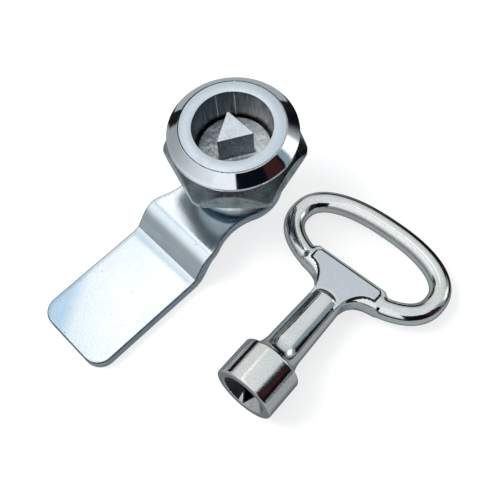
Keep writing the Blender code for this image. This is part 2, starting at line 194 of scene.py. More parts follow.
def cut_prism(piece, outline, low, high):
    """Cuts an upright prism out of the piece for good."""
    count = len(outline)
    verts = [(x, y, z) for z in (low, high) for x, y in outline]
    faces = [tuple(reversed(range(count))), tuple(range(count, 2 * count))]
    for i in range(count):
        j = (i + 1) % count
        faces.append((i, j, count + j, count + i))
    tool = new_object("cutter", new_mesh("cutter", verts, faces))
    step = piece.modifiers.new("cut", "BOOLEAN")
    step.operation = "DIFFERENCE"
    step.solver = "EXACT"
    step.object = tool
    bpy.context.view_layer.update()
    done = piece.evaluated_get(bpy.context.evaluated_depsgraph_get())
    mesh = bpy.data.meshes.new_from_object(done)
    piece.modifiers.clear()
    old = piece.data
    piece.data = mesh
    bpy.data.meshes.remove(old)
    bpy.data.objects.remove(tool, do_unlink=True)
    mesh.name = piece.name
    mesh.set_sharp_from_angle(angle=radians(28))


# -------- materials


class Nodes:
    """The nodes of a material or of the world."""

    def __init__(self, owner):
        owner.use_nodes = True
        self.tree = owner.node_tree

    def feed(self, node, inputs):
        """Gives a node its inputs: numbers, colours or the outputs of other nodes."""
        for label, value in inputs.items():
            if isinstance(value, bpy.types.NodeSocket):
                self.tree.links.new(value, node.inputs[label])
            else:
                node.inputs[label].default_value = value

    def add(self, kind, inputs, **settings):
        node = self.tree.nodes.new("ShaderNode" + kind)
        for name, value in settings.items():
            setattr(node, name, value)
        self.feed(node, inputs)
        return node

    def maths(self, operation, first, second=0, third=0):
        return self.add("Math", {0: first, 1: second, 2: third}, operation=operation).outputs[0]

    def times(self, first, second):
        return self.maths("MULTIPLY", first, second)

    def spread(self, value, low, high, out_low=0, out_high=1, kind="LINEAR"):
        """Maps value from low..high to out_low..out_high, and holds it there beyond."""
        inputs = {"Value": value, "From Min": low, "From Max": high, "To Min": out_low,
                  "To Max": out_high}
        return self.add("MapRange", inputs, interpolation_type=kind).outputs["Result"]

    def blend(self, amount, first, second):
        first, second = ((*v, 1) if isinstance(v, tuple) else v for v in (first, second))
        inputs = {"Factor": amount, 6: first, 7: second}
        return self.add("Mix", inputs, data_type="RGBA").outputs[2]


class Finish(Nodes):
    """A material with its nodes, all in object coordinates of the piece, in metres."""

    def __init__(self, name, metallic=1):
        self.material = bpy.data.materials.new(name)
        super().__init__(self.material)
        self.shader = self.tree.nodes["Principled BSDF"]
        self.shader.inputs["Metallic"].default_value = metallic
        self.place = self.add("TexCoord", {}).outputs["Object"]
        self.x, self.y, self.z = self.add("SeparateXYZ", {0: self.place}).outputs
        self.angle = self.maths("ARCTAN2", self.y, self.x)

    def grain(self, scale, detail=4, rough=0.55, stretch=(1, 1, 1)):
        """Noise from 0 to 1, scale lumps to a metre."""
        place = self.add("Mapping", {"Vector": self.place, "Scale": stretch}).outputs[0]
        inputs = {"Vector": place, "Scale": scale, "Detail": detail, "Roughness": rough}
        return self.add("TexNoise", inputs).outputs["Fac"]

    def streaks(self, x, y, detail):
        """Noise over two lengths worked out from the place."""
        joined = self.add("CombineXYZ", {"X": x, "Y": y}).outputs[0]
        inputs = {"Vector": joined, "Scale": 1, "Detail": detail}
        return self.add("TexNoise", inputs).outputs["Fac"]

    def around(self, turns, rise, detail=3):
        """Noise in cylinder coordinates: turns lumps across a radian, rise lumps to a metre of z."""
        return self.streaks(self.times(self.angle, turns), self.times(self.z, rise), detail)

    def radial(self, scale, detail):
        """Noise that changes only with the distance from the axis: turning marks."""
        squares = self.maths("ADD", self.times(self.x, self.x), self.times(self.y, self.y))
        return self.streaks(self.times(self.maths("SQRT", squares), scale), 0, detail)

    def cells(self, scale, near, far):
        """1 at scattered points, 0 away from them."""
        texture = self.add("TexVoronoi", {"Vector": self.place, "Scale": scale})
        return self.spread(texture.outputs["Distance"], near, far, 1, 0)

    def pits(self, scale, near, far, patches, low, high):
        """1 in small pits, which lie in patches."""
        return self.times(self.cells(scale, near, far),
                          self.spread(self.grain(patches, 2), low, high))

    def line_up(self, azimuth):
        """1 on a line that runs up a wall at this azimuth, in degrees from +X towards +Y."""
        away = self.maths("ABSOLUTE", self.maths("SUBTRACT", self.angle, radians(azimuth)))
        return self.spread(away, radians(0.4), radians(1), 1, 0)

    def towards(self, azimuth, low, high):
        """0 to 1 as the place goes from low to high, in millimetres from the axis towards azimuth."""
        turn = radians(azimuth)
        across = self.maths("ADD", self.times(self.x, cos(turn)),
                            self.times(self.y, sin(turn)))
        return self.spread(across, low * MM, high * MM)

    def colours(self, value, *stops):
        """Colour by value, from stops of (position, colour)."""
        node = self.add("ValToRGB", {"Fac": value})
        ramp = node.color_ramp
        while len(ramp.elements) < len(stops):
            ramp.elements.new(0.5)
        for element, (position, colour) in zip(ramp.elements, stops):
            element.position = position
            element.color = (*colour, 1)
        return node.outputs["Color"]

    def done(self, colour, rough, *reliefs):
        """The finished material.

        rough is (value, low, high, roughness at low, roughness at high) or a socket. Each relief is
        (height, depth in metres, strength), and adds to the ones before it.
        """
        if isinstance(rough, tuple):
            rough = self.spread(*rough)
        self.feed(self.shader, {"Base Color": colour, "Roughness": rough})
        normal = {}
        for height, depth, strength in reliefs:
            inputs = {"Height": height, "Distance": depth, "Strength": strength, **normal}
            normal = {"Normal": self.add("Bump", inputs).outputs["Normal"]}
        self.feed(self.shader, normal)
        return self.material


def chrome_mirror():
    """Polished chrome of the head's chamfer: nearly a mirror, with faint polishing lines."""
    f = Finish("chrome_polished")
    haze = f.grain(260, 5)
    rough = f.maths("ADD", f.spread(haze, 0.35, 0.75, 0.035, 0.085),
                    f.times(f.cells(900, 0.02, 0.1), 0.05))
    return f.done(f.colours(haze, (0.3, (0.77, 0.8, 0.83)), (0.7, (0.84, 0.86, 0.88))), rough,
                  (f.grain(150, 2), 0.00001, 0.35))


def chrome_satin():
    """The flat ring round the recess: the same plating over a lathe-cut, blasted face."""
    f = Finish("chrome_satin")
    speck = f.grain(9000, 2)
    return f.done(f.colours(speck, (0.3, (0.58, 0.645, 0.7)), (0.7, (0.7, 0.755, 0.8))),
                  (f.grain(500), 0.3, 0.7, 0.2, 0.32),
                  (f.radial(9000, 2), 0.00001, 0.5), (speck, 0.000016, 0.6))


def cast_wall():
    """The drawn cast wall of the recess: dull, streaked with the draw, with painted light, painted shade
    and two painted highlights.
    """
    f = Finish("recess_wall")
    streaks = f.around(26, 150, 5)
    thin = f.around(70, 60)
    stain = f.spread(f.grain(220, 5), 0.45, 0.7, 0, 0.6)
    colour = f.colours(streaks, (0.34, (0.06, 0.08, 0.1)), (0.54, (0.26, 0.29, 0.3)),
                       (0.74, (0.7, 0.71, 0.68)))
    colour = f.blend(stain, colour, (0.46, 0.38, 0.32))
    # Painted light: the wall is lighter towards azimuth 35.
    colour = f.blend(f.times(f.towards(35, -2, 8), 0.55), colour, (0.8, 0.8, 0.76))
    # Painted shade: the wall is darker and bluer towards azimuth 200.
    colour = f.blend(f.times(f.towards(200, -2, 7), 0.75), colour, (0.06, 0.1, 0.14))
    # Two thin painted highlights that run up the wall at these azimuths.
    for azimuth in (134, 161):
        mark = f.times(f.line_up(azimuth), f.spread(thin, 0.3, 0.6, 0.4, 1))
        colour = f.blend(mark, colour, (0.95, 0.97, 0.97))
    return f.done(colour, (streaks, 0.3, 0.7, 0.4, 0.2), (streaks, 0.00012, 0.7),
                  (thin, 0.00005, 0.5))


def barrel_zinc():
    """The threaded barrel: zinc, cut and plated, darkened at its lower end by painted shade."""
    f = Finish("barrel_zinc")
    plated = f.colours(f.grain(300, 6), (0.3, (0.46, 0.5, 0.53)), (0.7, (0.7, 0.74, 0.76)))
    # Painted shade: dark below z 10.8 to 12.2 mm, the barrel's lower end.
    painted_shade_low = f.spread(f.z, 0.0108, 0.0122, 1, 0)
    return f.done(f.blend(painted_shade_low, plated, (0.07, 0.12, 0.16)),
                  (f.grain(900), 0.3, 0.7, 0.22, 0.42), (f.grain(2500, 3), 0.00002, 0.6))


def rough_cast(name, dark, light, scale=1, painted_lit_side=0):
    """Bare die-cast zinc: grey, with pits and bright high spots, and painted light that whitens it
    towards one side.
    """
    f = Finish(name)
    lumps = f.grain(1500 * scale, 6, 0.65)
    cloud = f.spread(f.grain(260 * scale), 0.4, 0.7, 0, 0.5)
    pits = f.pits(1500 * scale, 0.06, 0.22, 700, 0.5, 0.6)
    base = f.colours(lumps, (0.32, dark), (0.66, light))
    base = f.blend(cloud, base, tuple(0.8 * v for v in dark))
    # Painted light: whiter towards azimuth 50, by the given amount.
    base = f.blend(f.times(f.towards(50, -1, 6), painted_lit_side), base, (1, 1, 1))
    return f.done(f.blend(pits, base, (0.05, 0.05, 0.05)), (lumps, 0.3, 0.7, 0.56, 0.36),
                  (lumps, 0.0001, 0.8), (f.times(pits, -1), 0.0001, 0.6))


def nut_zinc():
    """The nut: grey zinc plate over machined steel, mottled, with turning lines and painted shade on its
    cone.
    """
    f = Finish("nut_zinc")
    fine = f.grain(2200, 4, 0.7)
    base = f.colours(f.grain(300, 6, 0.65), (0.34, (0.28, 0.33, 0.34)),
                     (0.5, (0.5, 0.55, 0.56)), (0.68, (0.68, 0.7, 0.68)))
    base = f.blend(f.spread(fine, 0.35, 0.7, 0.55, 0), base, (0.12, 0.16, 0.17))
    # Painted shade: faces that point upwards, the cone under the head, are darkened.
    normal = f.add("NewGeometry", {}).outputs["Normal"]
    painted_shade_up = f.spread(f.add("SeparateXYZ", {0: normal}).outputs["Z"], 0.15, 0.4, 0, 0.36)
    return f.done(f.blend(painted_shade_up, base, (0.05, 0.07, 0.08)),
                  (f.grain(1100, 5), 0.3, 0.7, 0.14, 0.3),
                  (f.around(4, 7000), 0.00002, 0.5), (fine, 0.00004, 0.7))


def blue_zinc(name):
    """Bright zinc plate over rolled steel: fine speckle, a few small pits, painted glints and a painted
    bluish reflection.
    """
    f = Finish(name)
    speck = f.grain(3600, 3, 0.7)
    rolled = f.grain(420, 5)
    pits = f.pits(760, 0.03, 0.11, 260, 0.53, 0.58)
    base = f.colours(f.grain(90), (0.35, (0.76, 0.82, 0.85)), (0.65, (0.86, 0.89, 0.91)))
    base = f.blend(f.spread(speck, 0.38, 0.7, 0.28, 0), base, (0.46, 0.6, 0.68))
    # Painted glints: specks made near white across the cam's bend, y from -20 to -13 mm.
    painted_glints = f.times(f.spread(f.y, -0.02, -0.013), f.spread(speck, 0.45, 0.62))
    base = f.blend(painted_glints, base, (0.97, 0.99, 1))
    # Painted reflection: a bluish tint over the blade's end corner, towards azimuth 211.6.
    base = f.blend(f.times(f.towards(211.6, 27.5, 31), 0.8), base, (0.43, 0.59, 0.73))
    return f.done(f.blend(pits, base, (0.12, 0.17, 0.2)), (rolled, 0.3, 0.7, 0.06, 0.12),
                  (rolled, 0.00002, 0.4), (speck, 0.00003, 0.7),
                  (f.times(pits, -1), 0.0001, 0.7))


def cut_side():
    """The sheared side of the cam: grey, with lines along the strip."""
    f = Finish("cam_cut_side")
    lines = f.grain(1800, 3, stretch=(0.15, 0.15, 2))
    return f.done(f.colours(lines, (0.35, (0.26, 0.31, 0.36)), (0.65, (0.56, 0.62, 0.66))),
                  (f.grain(900), 0.3, 0.7, 0.22, 0.4), (lines, 0.00003, 0.6))


def rolled_edge():
    """The rolled-over rim of the cam, coloured dark as painted shade along the cam's outline."""
    f = Finish("cam_rolled_edge")
    cloud = f.grain(900)
    # Painted shade: the rim's colour runs from near black to dark grey.
    return f.done(f.colours(cloud, (0.3, (0.08, 0.1, 0.13)), (0.7, (0.24, 0.28, 0.32))),
                  (cloud, 0.3, 0.7, 0.24, 0.38), (f.grain(2500, 3), 0.00002, 0.5))


def spring_steel():
    """Dark oiled spring steel of the split washer."""
    f = Finish("washer_steel_dark")
    colour = f.colours(f.grain(500, 5), (0.3, (0.24, 0.25, 0.27)), (0.7, (0.44, 0.45, 0.46)))
    return f.done(colour, (f.around(3, 5000), 0.3, 0.7, 0.26, 0.44),
                  (f.grain(3000, 3), 0.00002, 0.6))


def soft_rubber(name):
    """Black moulded rubber with a dusty, faintly grainy skin."""
    f = Finish(name, 0)
    dust = f.grain(700, 6)
    return f.done(f.colours(dust, (0.4, (0.018, 0.018, 0.019)), (0.75, (0.06, 0.06, 0.058))),
                  (dust, 0.3, 0.7, 0.52, 0.74), (f.grain(4000, 3), 0.00003, 0.6))


def key_nickel():
    """The key's bright plating over an as-cast skin: it shines, ripples, and is painted dark at its
    outline as painted shade.
    """
    f = Finish("key_nickel")
    cloud = f.grain(220, 5)
    speck = f.grain(3200, 3)
    pits = f.pits(800, 0.03, 0.1, 300, 0.54, 0.6)
    # Painted shade: near black where the surface turns away from the view, a dark outline.
    outline = f.spread(f.add("LayerWeight", {"Blend": 0.5}).outputs["Facing"], 0.52, 0.8, 0, 0.94)
    base = f.colours(cloud, (0.3, (0.78, 0.78, 0.75)), (0.7, (0.88, 0.87, 0.84)))
    base = f.blend(f.spread(speck, 0.4, 0.62, 0.3, 0), base, (0.5, 0.5, 0.47))
    base = f.blend(outline, base, (0.02, 0.022, 0.024))
    return f.done(f.blend(pits, base, (0.14, 0.14, 0.14)), (cloud, 0.3, 0.7, 0.05, 0.11),
                  (f.grain(240, 3), 0.00004, 0.5),
                  (f.times(speck, f.spread(f.y, -0.026, -0.016, 1, 0.35)), 0.000022, 0.6),
                  (f.times(pits, -1), 0.00008, 0.7))


def key_panel_satin():
    """The key's flat panel: the same plating over a ground face, so it is satin and speckled."""
    f = Finish("key_panel")
    speck = f.grain(5200, 3)
    return f.done(f.colours(speck, (0.3, (0.58, 0.61, 0.63)), (0.7, (0.73, 0.76, 0.78))),
                  (f.grain(300), 0.3, 0.7, 0.24, 0.36), (speck, 0.00002, 0.7))


# -------- pieces


def build_housing():
    """Head with flat ring and mirror chamfer, deep recess, and threaded barrel with two flats."""
    steps = turn_steps(288)
    low, top = heights("housing")
    head, ring, recess, chamfer = 14.2, 11.5, 8.65, 2.3
    seat, base, chamber = 17.2, 26.9, 10.4
    mirror, satin, wall, zinc = range(4)

    def wall_radius(z):
        rim = np.cos(steps) * 9, np.sin(steps) * 9
        coarse, fine = (np.column_stack([*rim, np.full(len(steps), z * drawn)])
                        for drawn in (0.12, 0.3))
        return recess - 0.01 + 0.035 * noise(coarse, 1.1, 3) + 0.02 * noise(fine, 2.6, 4)

    rings = [(wall_radius(z), z, wall) for z in np.linspace(seat, top - 0.35, 34)]
    rings += corner_rings(recess + 0.16, top - 0.16, 0.16, 0.16, (180, 150, 120, 90), satin)
    rings.append((ring - 1.6, top, satin))
    rings += corner_rings(ring - 0.24, top - 0.12, 0.12, 0.12, (90, 60, 30), satin)
    rings += [(ring - 0.12, top - 0.16, wall), (ring + 0.02, top - 0.22, wall),
              (ring + 0.06, top - 0.16, wall), (ring + 0.09, top - 0.1, mirror)]
    for share in (0.06, 0.09, 0.25, 0.5, 0.75, 0.955):
        rings.append((ring + (head - ring) * share, top - chamfer * share, mirror))
    lean = degrees(atan2(head - ring, chamfer))
    rings += corner_rings(head - 0.14, top - chamfer - 0.05, 0.14, 0.14,
                          [lean * share for share in (1, 0.65, 0.3, 0)], mirror)
    rings += [(head, base + 0.12, mirror), (head - 0.04, base + 0.03, mirror),
              (head - 0.12, base, zinc), (11.3, base, zinc)]
    flats = 10 / np.maximum(np.abs(np.cos(steps)), 1e-6)
    rings.append((np.minimum(10.4, flats), base - 0.05, zinc))
    for z in np.linspace(base - 0.3, low + 0.5, 190):
        fade = np.clip((base - 0.9 - z) / 0.8, 0, 1)
        end = np.clip((z - low - 0.3) / 0.7, 0, 1)
        depth = thread_depth(steps, z, BARREL_PITCH, 0.78)
        radius = 10.97 - depth * fade - 0.6 * (1 - end) - 0.35 * (1 - fade)
        rings.append((smooth_min(radius, flats, 0.12), z, zinc))
    rings += [(r, z, zinc) for r, z in (
        (np.minimum(10.25, flats), low + 0.05), (np.minimum(10.1, flats), low), (7.7, low),
        (7.6, low + 0.1), (7.6, chamber), (5.65, chamber), (5.5, chamber + 0.15), (5.5, 12),
        (5.5, 16), (5.6, seat))]
    housing = ring_solid(("housing_body", "housing", "lock_body", "bright_chrome",
                          [chrome_mirror(), chrome_satin(), cast_wall(), barrel_zinc()]),
                         28, steps, rings)
    window = [(14 * cos(t), 14 * sin(t)) for t in np.radians(np.linspace(-15, 105, 24))]
    cut_prism(housing, [(0, 0)] + window, low - 1, chamber)


def build_rotor():
    """The cast rotor: rough face with its triangular stud, disc, grooved shaft and square end."""
    steps = turn_steps(360)
    low, stud_top = heights("rotor")
    face, disc, side, fillet, soft = 21.5, 8.1, 8.3, 0.45, 0.14
    cast, painted_light_top, plain, stud_side_painted_shade = range(4)

    def triangle(grow):
        return triangle_radius(steps, side + grow * 2 * sqrt(3), 0.3 + grow, -90)

    def around(radius, z):
        return np.column_stack([radius * np.cos(steps), radius * np.sin(steps),
                                np.full(len(steps), z)])

    rings = [(0, stud_top, painted_light_top)]
    for share in (0.25, 0.5, 0.75, 0.95, 1):
        rings.append((triangle(-soft) * share, stud_top, painted_light_top if share < 1 else cast))
    for angle in np.radians((30, 60, 90)):
        rings.append((triangle(soft * sin(angle) - soft),
                      stud_top - soft + soft * cos(angle), stud_side_painted_shade))
    for z in np.linspace(stud_top - 0.5, face + 0.6, 14):
        edge = triangle(0)
        rings.append((edge + 0.03 * noise(around(edge, z), 0.9, 6), z, stud_side_painted_shade))
    for angle in np.radians((30, 60, 80)):
        rings.append((triangle(fillet - fillet * cos(angle)),
                      face + fillet - fillet * sin(angle), cast))
    start = triangle(fillet + 0.15)
    for share in np.linspace(0, 1, 16):
        radius = start + (disc - 0.15 - start) * share
        points = around(radius, 0)
        height = 0.05 * noise(points, 0.8, 7) + 0.035 * noise(points, 2.4, 8)
        rings.append((radius, face - 0.03 + height * min(1, 6 * share * (1.01 - share)), cast))
    square = np.minimum(5.4, polygon_radius(steps, 4, 4, 45))
    rings += [(disc - 0.03, face - 0.1, cast), (disc, face - 0.25, cast)]
    rings += [(r, z, plain) for r, z in (
        (disc, 17.7), (disc - 0.15, 17.5), (5.45, 17.5), (5.4, 17.4), (5.4, 14.6), (5.3, 14.5),
        (4.2, 14.5), (4.2, 12.9), (5.3, 12.9), (5.4, 12.8), (5.4, 10.5), (5.4, 10.26),
        (square, 10.24), (square, 8), (square, low + 0.15), (square - 0.12, low), (3.1, low),
        (3, low + 0.1), (3, 14.4), (0, 14.6))]
    # Lit and shaded copies of the cast zinc: the stud's top is painted light, its sides painted shade,
    # and rotor_cast is painted lighter towards one side.
    materials = [rough_cast("rotor_cast", (0.36, 0.39, 0.41), (0.98, 0.99, 0.99), painted_lit_side=0.75),
                 rough_cast("stud_top", (0.74, 0.79, 0.84), (0.9, 0.93, 0.96), 1.6),
                 barrel_zinc(),
                 rough_cast("stud_side_painted_shade", (0.2, 0.24, 0.28), (0.5, 0.55, 0.6), 1.2)]
    ring_solid(("rotor_body", "rotor", "rotor_set", "cast_zinc", materials), 30, steps, rings,
               closed=False)


def build_nut():
    """The hexagon nut: a tall cone towards the panel, rounded corners and a thread in the bore."""
    corner = 43.5
    steps = turn_steps(360, corner)
    low, high = heights("mounting_nut")
    face, widest, cone_low, root, thread = 12.8, 15.8, 21.2, 11.91, 0.75
    spread = (widest - face) / (high - cone_low)
    hexagon = polygon_radius(steps, 14, 6, corner)
    rings = [(root - thread_depth(steps, z, BARREL_PITCH, thread), z)
             for z in np.linspace(low + 0.6, high - 0.6, 60)]
    rings += [(11.61, high - 0.25), (11.96, high), (12.3, high), (face - 0.15, high)]
    for z in (*(high - d for d in (0.02, 0.06, 0.12, 0.2)),
              *np.linspace(high - 0.35, cone_low - 0.4, 34),
              *(low + d for d in (0.7, 0.5, 0.4, 0.3, 0.2, 0.1, 0.05, 0.01))):
        down = high - z
        cone = face + down * spread - 0.12 * max(0, 1 - down / 0.2) ** 2
        under = widest + (z - low - 0.4) / TAN30
        rings.append((smooth_min(hexagon, min(cone, widest, under), 0.1), z))
    rings += [(13.6, low), (12.6, low), (11.96, low), (11.61, low + 0.25)]
    ring_solid(("nut_body", "mounting_nut", "nut", "dull_zinc", [nut_zinc()]), 28, steps, rings)


def build_gasket():
    """The flat rubber ring under the head, with rounded edges."""
    low, high = heights("panel_gasket")
    half = (high - low) / 2
    middle = (high + low) / 2
    inner, outer = 11.15, 13.9
    rings = corner_rings(inner + half * 0.5, middle, half * 0.5, half, (200, 160, 120, 90))
    rings.append(((inner + outer) / 2, high))
    rings += corner_rings(outer - half * 0.6, middle, half * 0.6, half, range(90, -91, -30))
    rings += [((inner + outer) / 2, low), (inner + half * 0.5, low)]
    ring_solid(("gasket_ring_body", "panel_gasket", "gasket_ring", "black_rubber",
                [soft_rubber("gasket_rubber")]), 40, turn_steps(192), rings)


def cam_outline():
    """The right half of the cam's outline from above, round end to blade end, with its normals."""
    waist, waist_y, fillet = 8.2, -9.8, 13.6
    shoulder, half, end, length, radius = 8, 10, 4, 53, 10.3
    fillet_x = waist + fillet
    meet = degrees(atan2(waist_y, fillet_x))
    shoulder_x = half - shoulder
    fall = sqrt((fillet + shoulder) ** 2 - (fillet_x - shoulder_x) ** 2)
    lean = degrees(atan2(fall, fillet_x - shoulder_x))
    rows = []

    def arc(cx, cy, r, start, stop, count, sign=1):
        for t in np.linspace(radians(start), radians(stop), count):
            rows.append((cx + r * cos(t), cy + r * sin(t), sign * cos(t),
                         sign * sin(t)))

    arc(0, 0, radius, 90, meet, 64)
    arc(fillet_x, waist_y, fillet, 180 + meet, 180 + lean, 22, -1)
    arc(shoulder_x, waist_y - fall, shoulder, lean, 0, 14)
    for y in np.linspace(waist_y - fall - 1, end - length + 1, 22):
        rows.append((half, y, 1, 0))
    arc(half - end, end - length, end, 0, -90, 16)
    rows = np.array(rows)
    return rows[np.hypot(*np.diff(rows[:, :2], axis=0, prepend=1e9).T) > 0.02]


def cam_face(y, upper):
    """Height of the cam's upper or lower face at y: flat root, bend, ramp, crease, flat blade."""
    thick, crank, bend_y, bend, big, small = 3, 5.6, -17.2, radians(54), 5, 0.8
    sine, cosine, rise = sin(bend), cos(bend), tan(bend)
    r1, r2 = (big, small) if upper else (big - thick, small + thick)
    bend_z = crank + thick - big
    crease_z = thick + small
    start_y, start_z = bend_y - r1 * sine, bend_z + r1 * cosine
    fall = bend_z + big * cosine - (crease_z - small * cosine)
    crease_y = bend_y - big * sine - fall / rise - small * sine

    def arc(radius, middle):
        return np.sqrt(np.maximum(radius ** 2 - (y - middle) ** 2, 0))

    return np.select([y < crease_y, y < crease_y + r2 * sine, y < start_y, y < bend_y],
                     [thick if upper else 0, crease_z - arc(r2, crease_y),
                      start_z + (y - start_y) * rise, bend_z + arc(r1, bend_y)],
                     crank + thick if upper else crank)


def build_cam():
    """The cranked cam: a pressed strip with rolled-over edges and a square hole."""
    half = cam_outline()
    columns, edge, square = 20, 0.28, 4.15
    flat, sheared, rolled = range(3)
    verts, faces, marks = [], [], []

    def row(x, y):
        """A row of points across the cam, without its ends."""
        x = np.linspace(x, -x, columns + 1)[1:-1]
        return np.column_stack([x, np.full(len(x), y)])

    def boundary(inset):
        right = half[:, :2] - half[:, 2:] * inset
        left = right[::-1] * np.array([-1, 1])
        return np.concatenate([right, row(*right[-1]), left[:-1]])

    def add(points, upper, depth=0):
        """Adds points of the upper or lower face, depth below it, and returns the first one's number."""
        wave = 0.018 * noise(np.column_stack([points, np.zeros(len(points))]), 0.1, 11)
        z = cam_face(points[:, 1], upper) + (wave - depth) * (1 if upper else -1)
        verts.append(np.column_stack([points, z]))
        return sum(map(len, verts)) - len(points)

    turns = np.radians((0, 22.5, 45, 67.5, 90))
    rims = [add(boundary(edge - edge * sin(t)), upper, edge - edge * cos(t))
            for upper, order in ((True, turns), (False, turns[::-1])) for t in order]
    inner = boundary(edge)
    count = len(inner)
    for i, (a, b) in enumerate(zip(rims, rims[1:])):
        for j in range(count):
            k = (j + 1) % count
            faces.append((a + j, a + k, b + k, b + j))
            marks.append(sheared if i == len(turns) - 1 else rolled)
    last = len(half) - 1
    for upper, base in ((True, rims[0]), (False, rims[-1])):
        rows = [[base]]
        for i in range(1, last):
            start = add(row(*inner[i]), upper)
            rows.append([base + i, *range(start, start + columns - 1), base + count - i])
        rows.append(range(base + last, base + last + columns + 1))
        for above, below in zip(rows, rows[1:]):
            for j in range(columns):
                face = (*above[j:j + 2], below[j + 1], below[j])
                if len(above) == 1:
                    face = (above[0], below[j + 1], below[j])
                faces.append(face if upper else face[::-1])
                marks.append(flat)
    cam = make_piece(("cam_blade", "cam", "rotor_set", "blue_zinc",
                      [blue_zinc("cam_zinc"), cut_side(), rolled_edge()]),
                     40, np.concatenate(verts), faces, marks)
    low, high = heights("cam")
    cut_prism(cam, [(square, square), (-square, square), (-square, -square), (square, -square)],
              low + 2, high + 2)


def build_stop_washer():
    """The pressed disc whose tab stops the turn, with softened edges."""
    low, high = heights("stop_washer")
    tab, middle = radians(14), radians(90)
    plain = [a for a in turn_steps(240, 0.5) if abs(a - middle) > tab + 0.03]
    corner = [middle + sign * (tab + d) for sign in (-1, 1) for d in (0.012, 0.004, 0, -0.012)]
    inside = middle + np.linspace(-tab + 0.03, tab - 0.03, 22)
    steps = np.array(sorted([*plain, *corner, *inside]))
    away = np.abs(steps - middle)
    outline = np.where(away <= tab + 0.0005, 9.9, 7.2)
    outline = np.where((away > tab - 0.006) & (away <= tab + 0.0005), 9.78, outline)
    square = polygon_radius(steps, 4.15, 4, 45)
    edge = 0.15
    rings = [(square + 0.05, high), (outline - edge, high), (outline - 0.04, high - 0.04),
             (outline, high - edge), (outline, low + edge), (outline - 0.04, low + 0.04),
             (outline - edge, low), (square + 0.05, low), (square, low + 0.05),
             (square, high - 0.05)]
    ring_solid(("stop_washer_plate", "stop_washer", "rotor_set", "washer_steel",
                [blue_zinc("washer_zinc")]), 30, steps, rings)


def build_spring_washer():
    """The split spring washer: a bar of square section bent round, with a slanting cut."""
    low, high = heights("spring_washer")
    inner, outer, soft = 3.1, 5.9, 0.2
    slant = tan(radians(25))
    half_gap = 0.36
    section = []
    for x, z, start in ((outer - soft, high - soft, 90), (outer - soft, low + soft, 0),
                        (inner + soft, low + soft, -90), (inner + soft, high - soft, -180)):
        section += corner_rings(x, z, soft, soft, range(start, start - 91, -30))
    count, steps = len(section), 120
    verts, faces = [], []
    for share in np.arange(steps + 1) / steps:
        for r, z in section:
            shift = (z - (low + high) / 2) * slant
            first = pi + asin((half_gap - shift) / r)
            last = 3 * pi - asin((half_gap + shift) / r)
            angle = first + (last - first) * share
            verts.append((r * cos(angle), r * sin(angle), z))
    for a in range(0, steps * count, count):
        for j in range(count):
            k = (j + 1) % count
            faces.append((a + j, a + k, a + count + k, a + count + j))
    faces.append(tuple(reversed(range(count))))
    faces.append(tuple(range(steps * count, steps * count + count)))
    make_piece(("spring_washer_ring", "spring_washer", "rotor_set", "spring_steel",
                [spring_steel()]), 40, verts, faces, [0] * len(faces))


def build_bolt():
    """The M6 bolt: chamfered hexagon head with a lathe-cut face, and its thread."""
    corner, head = 12, 4
    steps = turn_steps(180, corner)
    low, high = heights("cam_bolt")
    hexagon = polygon_radius(steps, 5, 6, corner)
    rings = [(0, high), (1.6, high), (2.3, high), (2.75, high - 0.4)]
    for z in np.linspace(high - 0.6, head + 0.9, 86):
        start = np.clip((high - 0.4 - z) / 0.6, 0, 1)
        rings.append((2.9 - thread_depth(steps, z, 1, 0.5) * start - 0.15 * (1 - start), z))
    rings += [(2.85, head + 0.6), (2.88, head + 0.15), (3, head), (4.3, head)]
    for z in (head, head - 0.05, head - 0.15, head - 0.4, 2.4, 1.6, 1, 0.8, 0.65, 0.5, 0.38, 0.28,
              0.2, 0.13, 0.07, 0.03):
        cone = 4.75 + z / TAN30
        back = 5.45 + (head - z) * 2.2
        rings.append((smooth_min(smooth_min(hexagon, cone, 0.1), back, 0.1), z))
    rings += [(4.66, 0), (4.4, low), (3.4, low + 0.001), (3.2, low + 0.18), (1.2, low + 0.22),
              (0, low + 0.22)]
    ring_solid(("cam_bolt_body", "cam_bolt", "rotor_set", "bolt_zinc",
                [blue_zinc("bolt_zinc_plate")]), 30, steps, rings, closed=False)


def build_seal():
    """The rubber ring in the rotor's groove."""
    middle, cord = 4.85, 0.6
    rings = corner_rings(middle, sum(heights("rotor_seal")) / 2, cord, cord, range(180, -180, -18))
    ring_solid(("rotor_seal_ring", "rotor_seal", "rotor_set", "seal_rubber",
                [soft_rubber("seal_black")]), 60, turn_steps(96), rings)


# -------- the key


